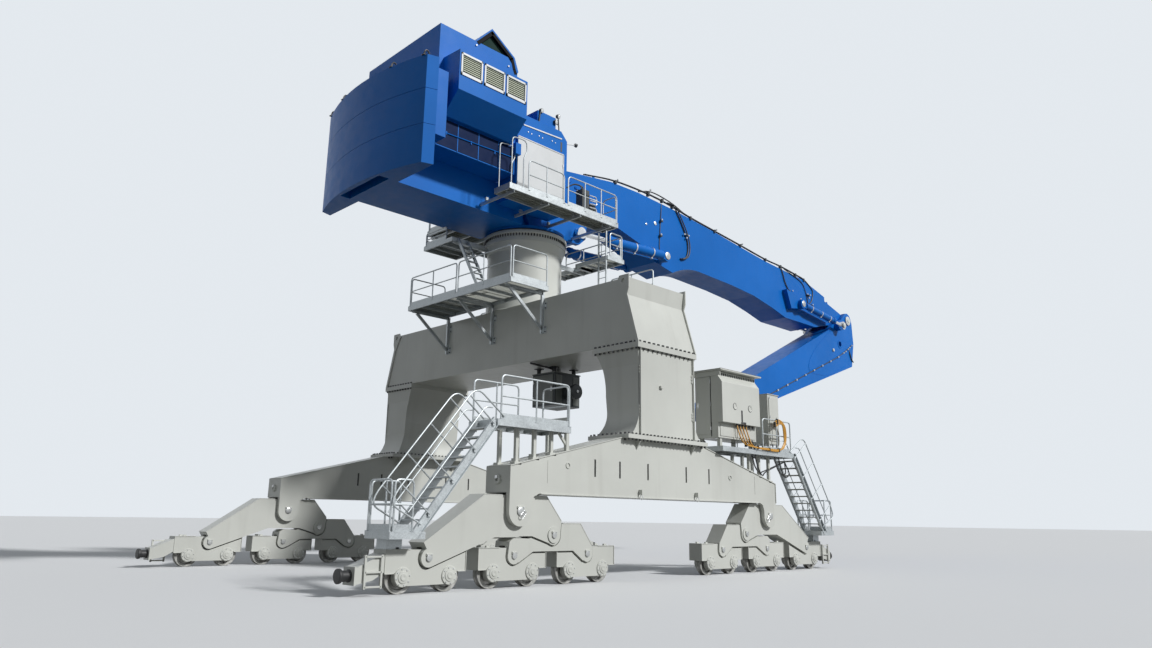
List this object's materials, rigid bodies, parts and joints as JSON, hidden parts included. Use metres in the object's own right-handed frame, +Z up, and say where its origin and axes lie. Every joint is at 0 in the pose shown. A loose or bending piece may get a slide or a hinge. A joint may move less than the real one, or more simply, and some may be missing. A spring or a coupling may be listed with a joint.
{
  "type": "rail-portal port material handler",
  "caption": "Rail-portal port material handler with balanced bogies, gantry, slewing upper carriage, cab, boom and folded stick.",
  "frame": {"origin": "on the ground at rail-top level, under the slewing axis, midway between the rails", "axes": "+X along the rails towards the boom's tip at rest, +Y across the portal to its left, +Z up"},
  "size_m": [34.97, 13.77, 18.23],
  "materials": {
    "portal_paint": "semi-gloss light grey-white paint",
    "machine_blue": "gloss saturated blue paint",
    "galvanised": "hot-dip galvanised",
    "wheel_steel": "worn rolled steel",
    "pin_steel": "machined",
    "ring_steel": "dark primer",
    "buffer_rubber": "moulded rubber",
    "cabinet_paint": "satin light grey powder coat",
    "cabinet_dark": "satin dark grey powder coat",
    "grille_white": "satin white",
    "panel_white": "satin white",
    "rod_chrome": "hard chrome",
    "cab_glass": "clear tinted",
    "seat_fabric": "woven"
  },
  "bodies": {
    "portal": {"bogie_frames": "portal_paint", "sub_balancers": "portal_paint", "main_balancers": "portal_paint", "balancer_pins": "pin_steel", "buffer_brackets": "portal_paint", "buffers": "buffer_rubber", "side_beams": "portal_paint", "columns": "portal_paint", "cross_beam": "portal_paint", "pedestal": "portal_paint", "slewing_ring": "ring_steel", "beam_walkway": "galvanised", "pedestal_access": "galvanised", "stairs": "galvanised", "portal_rails": "galvanised", "power_cabinets": "cabinet_paint", "hanging_cabinet": "cabinet_dark"},
    "wheel_rear_right_1": {"wheel_rear_right_1": "wheel_steel"},
    "wheel_rear_right_2": {"wheel_rear_right_2": "wheel_steel"},
    "wheel_rear_right_3": {"wheel_rear_right_3": "wheel_steel"},
    "wheel_rear_right_4": {"wheel_rear_right_4": "wheel_steel"},
    "wheel_rear_right_5": {"wheel_rear_right_5": "wheel_steel"},
    "wheel_rear_right_6": {"wheel_rear_right_6": "wheel_steel"},
    "wheel_front_right_1": {"wheel_front_right_1": "wheel_steel"},
    "wheel_front_right_2": {"wheel_front_right_2": "wheel_steel"},
    "wheel_front_right_3": {"wheel_front_right_3": "wheel_steel"},
    "wheel_front_right_4": {"wheel_front_right_4": "wheel_steel"},
    "wheel_front_right_5": {"wheel_front_right_5": "wheel_steel"},
    "wheel_front_right_6": {"wheel_front_right_6": "wheel_steel"},
    "wheel_rear_left_1": {"wheel_rear_left_1": "wheel_steel"},
    "wheel_rear_left_2": {"wheel_rear_left_2": "wheel_steel"},
    "wheel_rear_left_3": {"wheel_rear_left_3": "wheel_steel"},
    "wheel_rear_left_4": {"wheel_rear_left_4": "wheel_steel"},
    "wheel_rear_left_5": {"wheel_rear_left_5": "wheel_steel"},
    "wheel_rear_left_6": {"wheel_rear_left_6": "wheel_steel"},
    "wheel_front_left_1": {"wheel_front_left_1": "wheel_steel"},
    "wheel_front_left_2": {"wheel_front_left_2": "wheel_steel"},
    "wheel_front_left_3": {"wheel_front_left_3": "wheel_steel"},
    "wheel_front_left_4": {"wheel_front_left_4": "wheel_steel"},
    "wheel_front_left_5": {"wheel_front_left_5": "wheel_steel"},
    "wheel_front_left_6": {"wheel_front_left_6": "wheel_steel"},
    "upper": {"upper_frame": "machine_blue", "counterweight": "machine_blue", "engine_house": "machine_blue", "cooler_box": "machine_blue", "cooler_grilles": "grille_white", "front_house": "machine_blue", "service_panel": "panel_white", "side_walkways": "galvanised", "upper_rails": "galvanised", "cab_shell": "machine_blue", "cab_glass": "cab_glass", "operator_seat": "seat_fabric"},
    "cab_door": {"cab_door": "machine_blue"},
    "boom": {"boom": "machine_blue"},
    "boom_barrels": {"boom_cylinder_barrels": "machine_blue"},
    "boom_rods": {"boom_cylinder_rods": "rod_chrome"},
    "stick_barrels": {"stick_cylinder_barrels": "machine_blue"},
    "stick_rods": {"stick_cylinder_rods": "rod_chrome"},
    "stick": {"stick": "machine_blue"}
  },
  "joints": [
    {"name": "wheel_rear_right_1_spin", "type": "hinge", "parent": "portal", "child": "wheel_rear_right_1", "pos_m": [-8.857, -6.2, 0.37], "axis": [0, 1, 0], "continuous": true},
    {"name": "wheel_rear_right_2_spin", "type": "hinge", "parent": "portal", "child": "wheel_rear_right_2", "pos_m": [-7.603, -6.2, 0.37], "axis": [0, 1, 0], "continuous": true},
    {"name": "wheel_rear_right_3_spin", "type": "hinge", "parent": "portal", "child": "wheel_rear_right_3", "pos_m": [-6.307, -6.2, 0.37], "axis": [0, 1, 0], "continuous": true},
    {"name": "wheel_rear_right_4_spin", "type": "hinge", "parent": "portal", "child": "wheel_rear_right_4", "pos_m": [-5.053, -6.2, 0.37], "axis": [0, 1, 0], "continuous": true},
    {"name": "wheel_rear_right_5_spin", "type": "hinge", "parent": "portal", "child": "wheel_rear_right_5", "pos_m": [-3.737, -6.2, 0.37], "axis": [0, 1, 0], "continuous": true},
    {"name": "wheel_rear_right_6_spin", "type": "hinge", "parent": "portal", "child": "wheel_rear_right_6", "pos_m": [-2.483, -6.2, 0.37], "axis": [0, 1, 0], "continuous": true},
    {"name": "wheel_front_right_1_spin", "type": "hinge", "parent": "portal", "child": "wheel_front_right_1", "pos_m": [8.857, -6.2, 0.37], "axis": [0, 1, 0], "continuous": true},
    {"name": "wheel_front_right_2_spin", "type": "hinge", "parent": "portal", "child": "wheel_front_right_2", "pos_m": [7.603, -6.2, 0.37], "axis": [0, 1, 0], "continuous": true},
    {"name": "wheel_front_right_3_spin", "type": "hinge", "parent": "portal", "child": "wheel_front_right_3", "pos_m": [6.307, -6.2, 0.37], "axis": [0, 1, 0], "continuous": true},
    {"name": "wheel_front_right_4_spin", "type": "hinge", "parent": "portal", "child": "wheel_front_right_4", "pos_m": [5.053, -6.2, 0.37], "axis": [0, 1, 0], "continuous": true},
    {"name": "wheel_front_right_5_spin", "type": "hinge", "parent": "portal", "child": "wheel_front_right_5", "pos_m": [3.737, -6.2, 0.37], "axis": [0, 1, 0], "continuous": true},
    {"name": "wheel_front_right_6_spin", "type": "hinge", "parent": "portal", "child": "wheel_front_right_6", "pos_m": [2.483, -6.2, 0.37], "axis": [0, 1, 0], "continuous": true},
    {"name": "wheel_rear_left_1_spin", "type": "hinge", "parent": "portal", "child": "wheel_rear_left_1", "pos_m": [-8.857, 6.2, 0.37], "axis": [0, 1, 0], "continuous": true},
    {"name": "wheel_rear_left_2_spin", "type": "hinge", "parent": "portal", "child": "wheel_rear_left_2", "pos_m": [-7.603, 6.2, 0.37], "axis": [0, 1, 0], "continuous": true},
    {"name": "wheel_rear_left_3_spin", "type": "hinge", "parent": "portal", "child": "wheel_rear_left_3", "pos_m": [-6.307, 6.2, 0.37], "axis": [0, 1, 0], "continuous": true},
    {"name": "wheel_rear_left_4_spin", "type": "hinge", "parent": "portal", "child": "wheel_rear_left_4", "pos_m": [-5.053, 6.2, 0.37], "axis": [0, 1, 0], "continuous": true},
    {"name": "wheel_rear_left_5_spin", "type": "hinge", "parent": "portal", "child": "wheel_rear_left_5", "pos_m": [-3.737, 6.2, 0.37], "axis": [0, 1, 0], "continuous": true},
    {"name": "wheel_rear_left_6_spin", "type": "hinge", "parent": "portal", "child": "wheel_rear_left_6", "pos_m": [-2.483, 6.2, 0.37], "axis": [0, 1, 0], "continuous": true},
    {"name": "wheel_front_left_1_spin", "type": "hinge", "parent": "portal", "child": "wheel_front_left_1", "pos_m": [8.857, 6.2, 0.37], "axis": [0, 1, 0], "continuous": true},
    {"name": "wheel_front_left_2_spin", "type": "hinge", "parent": "portal", "child": "wheel_front_left_2", "pos_m": [7.603, 6.2, 0.37], "axis": [0, 1, 0], "continuous": true},
    {"name": "wheel_front_left_3_spin", "type": "hinge", "parent": "portal", "child": "wheel_front_left_3", "pos_m": [6.307, 6.2, 0.37], "axis": [0, 1, 0], "continuous": true},
    {"name": "wheel_front_left_4_spin", "type": "hinge", "parent": "portal", "child": "wheel_front_left_4", "pos_m": [5.053, 6.2, 0.37], "axis": [0, 1, 0], "continuous": true},
    {"name": "wheel_front_left_5_spin", "type": "hinge", "parent": "portal", "child": "wheel_front_left_5", "pos_m": [3.737, 6.2, 0.37], "axis": [0, 1, 0], "continuous": true},
    {"name": "wheel_front_left_6_spin", "type": "hinge", "parent": "portal", "child": "wheel_front_left_6", "pos_m": [2.483, 6.2, 0.37], "axis": [0, 1, 0], "continuous": true},
    {"name": "slew", "type": "hinge", "parent": "portal", "child": "upper", "pos_m": [0, 0, 11.9], "axis": [0, 0, 1], "continuous": true},
    {"name": "cab_door_hinge", "type": "hinge", "parent": "upper", "child": "cab_door", "pos_m": [0.43, 3.37, 13.7], "axis": [0, 0, 1], "range_deg": [0, 100]},
    {"name": "boom_hinge", "type": "hinge", "parent": "upper", "child": "boom", "pos_m": [1.8, 0, 14.1], "axis": [0, -1, 0], "range_deg": [-8, 48]},
    {"name": "boom_barrel_pivot", "type": "hinge", "parent": "boom", "child": "boom_barrels", "pos_m": [7.08, 0, 12.74], "axis": [0, -1, 0], "range_deg": [-5.2, 0.91]},
    {"name": "boom_rod_slide", "type": "slide", "parent": "boom_barrels", "child": "boom_rods", "axis": [-0.9982, 0, -0.0593], "range_m": [-0.2111, 1.2567]},
    {"name": "stick_hinge", "type": "hinge", "parent": "boom", "child": "stick", "pos_m": [24.05, 0, 12.97], "axis": [0, -1, 0], "range_deg": [0, 105]},
    {"name": "stick_barrel_pivot", "type": "hinge", "parent": "boom", "child": "stick_barrels", "pos_m": [18.4, 0, 12.82], "axis": [0, -1, 0], "range_deg": [-3.21, 0.05]},
    {"name": "stick_rod_slide", "type": "slide", "parent": "stick_barrels", "child": "stick_rods", "axis": [0.9953, 0, -0.0972], "range_m": [-0.002, 2.3084]}
  ],
  "couplings": [
    {"joint": "boom_barrel_pivot", "follows": "boom_hinge", "ratio": -0.10725},
    {"joint": "boom_rod_slide", "follows": "boom_hinge", "m_per_rad": 1.4977},
    {"joint": "stick_barrel_pivot", "follows": "stick_hinge", "ratio": -0.03007},
    {"joint": "stick_rod_slide", "follows": "stick_hinge", "m_per_rad": 1.2585}
  ]
}
